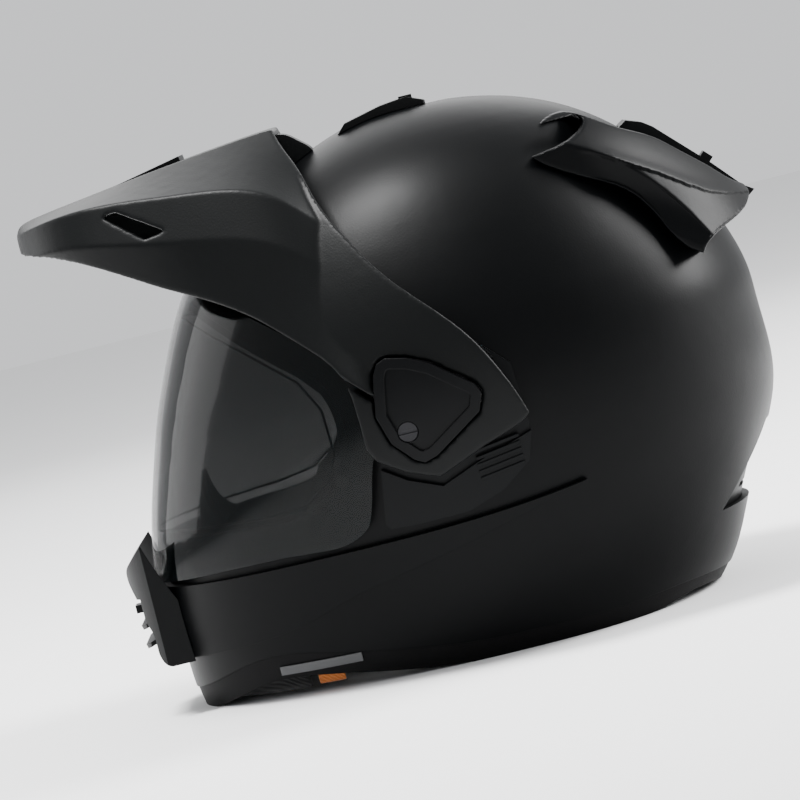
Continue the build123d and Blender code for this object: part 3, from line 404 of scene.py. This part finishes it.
def band(name, points, outs, width, wall):
    """Flat band with eased edges along points: outs are its outward directions."""
    rings = []
    count = len(points)
    edge = [(w * width / 2, h * wall) for w, h in BAND_PROFILE]
    profile = [(-w, h) for w, h in edge] + edge[::-1]
    for i, point in enumerate(points):
        along = (points[min(i + 1, count - 1)] - points[max(i - 1, 0)]).normalized()
        out = (outs[i] - outs[i].dot(along) * along).normalized()
        wide = along.cross(out).normalized()
        rings.append([point + w * wide + h * out for w, h in profile])
    return skin(name, rings)


def ease(value, start, run):
    """Share from 0 at start to 1 one run further on."""
    return min(1.0, max(0.0, (value - start) / run))


def stuffed(node_name, voxel, puff, most, steps=18):
    """A soft node's form, swollen as cloth under pressure with a cap on its travel."""
    start = remeshed(node_name, voxel, PAD_ROUNDS)
    helper = linked("helper", start)
    cloth = helper.modifiers.new("cloth", "CLOTH")
    cloth.settings.quality = 4
    cloth.settings.mass = 0.3
    cloth.settings.tension_stiffness = 15
    cloth.settings.use_pressure = True
    cloth.settings.uniform_pressure_force = puff
    cloth.settings.effector_weights.gravity = 0
    cloth.collision_settings.use_collision = False
    cloth.point_cache.frame_start = 1
    cloth.point_cache.frame_end = steps
    for step in range(1, steps + 1):
        bpy.context.scene.frame_set(step)
    moved = [v.co.copy() for v in baked(helper).vertices]
    bpy.context.scene.frame_set(1)
    for vertex, there in zip(start.vertices, moved):
        shift = there - vertex.co
        if shift.length > most * MM:
            shift *= most * MM / shift.length
        vertex.co += shift
    bpy.data.objects.remove(helper)
    return start


def sewn(mesh, distance, depth, width):
    """Sinks a narrow channel where a distance function of across, back and up is near zero."""
    mesh.update()
    normals = [v.normal.copy() for v in mesh.vertices]
    for vertex, normal in zip(mesh.vertices, normals):
        co = vertex.co
        gap = abs(distance(co.x / MM, co.y / MM - HEAD_BACK, co.z / MM))
        if gap < width:
            vertex.co -= normal * depth * MM * (0.5 + 0.5 * math.cos(math.pi * gap / width))
    mesh.update()


# Cheek pads: swollen, with the front of the top drawn up into a wing and one slanting seam
WING_RISE = 12.0
WING_FRONT, WING_FRONT_RUN = 48.0, 22.0    # ahead of the head's axis
WING_LOW, WING_RUN = 56.0, 24.0
CHEEK_SEAM_HEIGHT, CHEEK_SEAM_SLOPE = 62.0, 0.25


def cheek_seam(across, back, up):
    """Distance from the cheek pad's seam, which climbs backwards."""
    return up - CHEEK_SEAM_HEIGHT - CHEEK_SEAM_SLOPE * (back + HEAD_BACK)


for _, label in SIDES:
    pad = stuffed("cheek_pad_" + label, voxel=3.0, puff=3.0, most=1.2)
    for vertex in pad.vertices:
        front_share = ease(HEAD_BACK - vertex.co.y / MM, WING_FRONT, WING_FRONT_RUN)
        top_share = ease(vertex.co.z / MM, WING_LOW, WING_RUN)
        vertex.co.z += WING_RISE * front_share * top_share ** 2 * MM
    sewn(pad, cheek_seam, depth=1.6, width=4.0)
    piece = new_piece("cheek_cushion_" + label, pad, "lining_fabric", ["cheek_pad_" + label])

# Neck roll: two upright seams, one on each side of the nape
NECK_SEAM_TURN, NECK_RADIUS = 0.62, 90.0


def neck_seam(across, back, up):
    """Distance from the neck roll's seams, along the roll."""
    return (abs(math.atan2(across, back)) - NECK_SEAM_TURN) * NECK_RADIUS


roll = stuffed("neck_roll", voxel=2.6, puff=3.0, most=0.8)
sewn(roll, neck_seam, depth=1.2, width=3.5)
piece = new_piece("neck_cushion", roll, "lining_fabric", ["neck_roll"])

# Crown lining: two lengthwise seams and one across
CROWN_SEAM_ACROSS, CROWN_SEAM_HEIGHT = 32.0, 190.0
CROWN_SEAM_BACK_SHARE, CROWN_SEAM_UP_SHARE = 0.9, 0.2


def crown_long_seam(across, back, up):
    """Distance from the crown's lengthwise seams."""
    return abs(across) - CROWN_SEAM_ACROSS


def crown_cross_seam(across, back, up):
    """Distance from the crown's seam from ear to ear, which leans forward as it climbs."""
    return CROWN_SEAM_BACK_SHARE * back + CROWN_SEAM_UP_SHARE * (up - CROWN_SEAM_HEIGHT)


crown = stuffed("comfort_liner", voxel=3.2, puff=2.0, most=0.6, steps=12)
sewn(crown, crown_long_seam, depth=2.2, width=5.0)
sewn(crown, crown_cross_seam, depth=1.8, width=5.0)
piece = new_piece("crown_lining", crown, "lining_fabric", ["comfort_liner"])

# Chin curtain: one woven sheet between the chin bar and the lower rim, with a rolled hem
RAY_START = 400.0           # outside the helmet on every side
CURTAIN_COLUMNS, CURTAIN_ROWS = 60, 7
CURTAIN_WALL = 0.9
CURTAIN_EDGE = 0.7          # the sheet's edges from the solid's
CURTAIN_INSET = 1.2         # the sheet's middle from the solid's outer face
GATHER_DEPTH, GATHER_PACE = 0.35, 0.9
REACH_STEP, REACH_SHARE = 0.01, 0.99
HEM_RADIUS = 0.8


def search_tree(name):
    """Search tree over a CAD node's own mesh."""
    mesh = nodes[name].data
    mesh.calc_loop_triangles()
    return BVHTree.FromPolygons(
        [v.co.copy() for v in mesh.vertices], [tuple(t.vertices) for t in mesh.loop_triangles]
    )


def round_hit(tree, turn, up):
    """Outermost point and normal in a direction round the head, 0 at the front."""
    out = Vector((math.sin(turn), -math.cos(turn), 0))
    start = Vector((0, HEAD_BACK * MM, up * MM)) + out * (RAY_START * MM)
    point, normal, _, _ = tree.ray_cast(start, -out)
    return point, normal


def curtain_row(tree, row, up, widest_turn):
    """Points along one row of the curtain, from its right end to its left."""
    reach = widest_turn
    while round_hit(tree, reach, up)[0] is None or round_hit(tree, -reach, up)[0] is None:
        reach -= REACH_STEP
    line = []
    for column in range(CURTAIN_COLUMNS):
        turn = REACH_SHARE * reach * (2 * column / (CURTAIN_COLUMNS - 1) - 1)
        point, normal = round_hit(tree, turn, up)
        across = GATHER_DEPTH * math.sin(column * GATHER_PACE)
        gather = across * math.sin(math.pi * row / (CURTAIN_ROWS - 1))
        line.append(point - normal * (CURTAIN_INSET + gather) * MM)
    return line


def add_chin_curtain():
    """The curtain's sheet and its hem."""
    low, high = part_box("chin_curtain")
    widest_turn = math.atan2(high[0], HEAD_BACK * MM - high[1])
    bottom, height = low[2] / MM + CURTAIN_EDGE, (high[2] - low[2]) / MM - 2 * CURTAIN_EDGE
    tree = search_tree("chin_curtain")
    cloth = [
        curtain_row(tree, row, bottom + row / (CURTAIN_ROWS - 1) * height, widest_turn)
        for row in range(CURTAIN_ROWS)
    ]
    mesh = skin("curtain_cloth", cloth, closed_ring=False)
    sheet = new_piece("curtain_cloth", mesh, "curtain_fabric", ["chin_curtain"])
    wall = sheet.modifiers.new("wall", "SOLIDIFY")
    wall.thickness = CURTAIN_WALL * MM
    wall.offset = 0
    hem = new_piece("curtain_hem", tube("curtain_hem", cloth[-1], HEM_RADIUS * MM), "curtain_fabric")


add_chin_curtain()

# Chin strap: two webbing halves with sewn rows, the left one looped round the rings
STRAP_BACK = 6.0            # the strap's middle behind the origin
STRAP_WIDTH = 24.0
STRAP_WALLS = {"left": 1.1, "right": 2.1}
STRAP_STEPS = 90
STITCH_STEPS = range(6, 52, 2)
STITCH_HALF, STITCH_RADIUS, STITCH_LIFT = 0.9, 0.3, 0.1
STITCH_SHARE = 0.42         # of the strap's width, from its middle line
strap_routes = {
    "left": [
        (89.0, 18.5), (88.9, 14.5), (85.5, 11.6), (70.5, 2.6), (65.0, 0.9), (52.0, 0.85), (33.0, 0.85),
        (28.4, 2.2), (27.6, 6.0), (28.6, 9.6), (31.5, 10.6), (36.5, 9.6), (40.5, 4.2), (44.0, 3.0),
    ],
    "right": [
        (-89.0, 18.5), (-88.9, 14.5), (-85.5, 11.6), (-70.5, 2.6), (-65.0, 0.9), (-40.0, 0.85), (6.0, 0.85),
    ],
}


def add_strap(side, label):
    """One half of the strap with its two rows of stitches."""
    backwards = Vector((0, 1, 0))
    path = smooth_path([Vector((x, STRAP_BACK, z)) * MM for x, z in strap_routes[label]], STRAP_STEPS)
    outs = []
    for i in range(len(path)):
        along = path[min(i + 1, len(path) - 1)] - path[max(i - 1, 0)]
        outs.append(side * backwards.cross(along).normalized())
    wall = STRAP_WALLS[label]
    webbing = band("webbing", path, outs, STRAP_WIDTH * MM, wall * MM)
    new_piece("webbing_" + label, webbing, "webbing", ["chin_strap_" + label])
    stitches = bmesh.new()
    for edge in (-1, 1):
        for i in STITCH_STEPS:
            sideways = edge * STITCH_SHARE * STRAP_WIDTH * MM * backwards
            centre = path[i] + outs[i] * (wall + STITCH_LIFT) * MM + sideways
            half = (path[i + 1] - path[i]).normalized() * STITCH_HALF * MM
            stitches.from_mesh(
                tube("stitch", [centre - half, centre, centre + half], STITCH_RADIUS * MM, sides=5)
            )
    mesh = bpy.data.meshes.new("strap_stitches_" + label)
    stitches.to_mesh(mesh)
    stitches.free()
    new_piece("strap_stitches_" + label, mesh, "strip_grey")


for side, label in SIDES:
    add_strap(side, label)

# Pull tabs: woven tape with soft edges
new_piece("pull_tabs", remeshed("release_tabs", voxel=0.4, rounds=5), "tab_orange", ["release_tabs"])

# Rear diffusers: a forward facing mouth between two prongs, and a crease that runs out to the tip
DIFFUSER_VOXEL, DIFFUSER_ROUNDS = 0.8, 8
MOUTH_NEAR, MOUTH_FAR = 5.0, 150.0
CREASE_START, CREASE_RUN = 62.0, 14.0
RIDGE_HEIGHT, RIDGE_WIDTH = 1.4, 4.0
HOLLOW_DEPTH, HOLLOW_WIDTH = 2.4, 26.0
# Both lines are places in the side view: how far behind the head's axis, and how high
mouth = [
    (36.0, 205.9), (42.6, 205.8), (53.5, 207.2), (60.0, 208.9), (65.0, 211.2), (67.6, 213.8),
    (67.8, 216.6), (65.0, 218.4), (51.0, 218.3), (36.0, 219.0),
]
crease_line = [
    (30.0, 203.0), (55.0, 205.0), (67.0, 201.5), (82.5, 191.8), (93.9, 184.9), (104.6, 177.3),
    (113.9, 171.4), (121.6, 168.5), (136.2, 165.0), (150.0, 160.0),
]


def prism(name, outline, near, far):
    """Closed block over an outline of the side view."""
    ends = [[Vector((x, HEAD_BACK + back, up)) * MM for back, up in outline] for x in (near, far)]
    return skin(name, ends)


def line_height(line, back):
    """Height of a line of the side view at a place along it."""
    for (back_a, up_a), (back_b, up_b) in zip(line, line[1:]):
        if back_a <= back <= back_b:
            return up_a + (up_b - up_a) * (back - back_a) / (back_b - back_a)
    return line[-1][1] if back > line[-1][0] else line[0][1]


def add_diffuser(side, label):
    """One rear diffuser with its mouth, ridge and hollow."""
    node_name = "rear_diffuser_" + label
    cutter = linked("cutter", prism("cutter", mouth, side * MOUTH_NEAR, side * MOUTH_FAR))
    mesh = remeshed(node_name, DIFFUSER_VOXEL, DIFFUSER_ROUNDS, cutter)
    bpy.data.objects.remove(cutter)
    mesh.update()
    normals = [v.normal.copy() for v in mesh.vertices]
    for vertex, normal in zip(mesh.vertices, normals):
        back = vertex.co.y / MM - HEAD_BACK
        over = vertex.co.z / MM - line_height(crease_line, back)
        if over < 0:
            shift = -HOLLOW_DEPTH * math.sin(math.pi * min(1.0, -over / HOLLOW_WIDTH))
        else:
            shift = RIDGE_HEIGHT * math.exp(-(over / RIDGE_WIDTH) ** 2)
        facing = max(0.0, side * normal.x)
        vertex.co += normal * shift * ease(back, CREASE_START, CREASE_RUN) * facing * MM
    new_piece("diffuser_fairing_" + label, mesh, "shell_black", [node_name])


for side, label in SIDES:
    add_diffuser(side, label)

# Silicone bead that seals the anti-fog insert against the shield
SHARP_ANGLE = math.radians(60)
WELD = 0.001
LOOP_GAP = 1.0
BEAD_STEPS, BEAD_RADIUS = 260, 0.6


def sharp_loop(node_name):
    """The longest closed chain of sharp edges of a node, as points in order."""
    shape = bmesh.new()
    shape.from_mesh(nodes[node_name].data)
    bmesh.ops.remove_doubles(shape, verts=shape.verts, dist=WELD * MM)
    sharp = [e for e in shape.edges if len(e.link_faces) == 2 and e.calc_face_angle() > SHARP_ANGLE]
    chains = []
    while sharp:
        onward = sharp.pop(0)
        chain = list(onward.verts)
        while onward:
            onward = next((e for e in chain[-1].link_edges if e in sharp), None)
            if onward:
                sharp.remove(onward)
                chain.append(onward.other_vert(chain[-1]))
        chains.append([v.co.copy() for v in chain])
    shape.free()
    longest = max(chains, key=lambda chain: sum((b - a).length for a, b in zip(chain, chain[1:])))
    if (longest[0] - longest[-1]).length < LOOP_GAP * MM:
        longest.pop()
    return longest


bead_line = smooth_path(sharp_loop("anti_fog_insert"), BEAD_STEPS, closed=True)
bead = tube("insert_bead", bead_line, BEAD_RADIUS * MM, closed=True)
new_piece("insert_bead", bead, "insert_pin", body="shield")

# Peak with softened edges
new_piece("peak_shell", remeshed("peak", voxel=0.8, rounds=8), "peak_black", ["peak"])

bpy.context.view_layer.update()
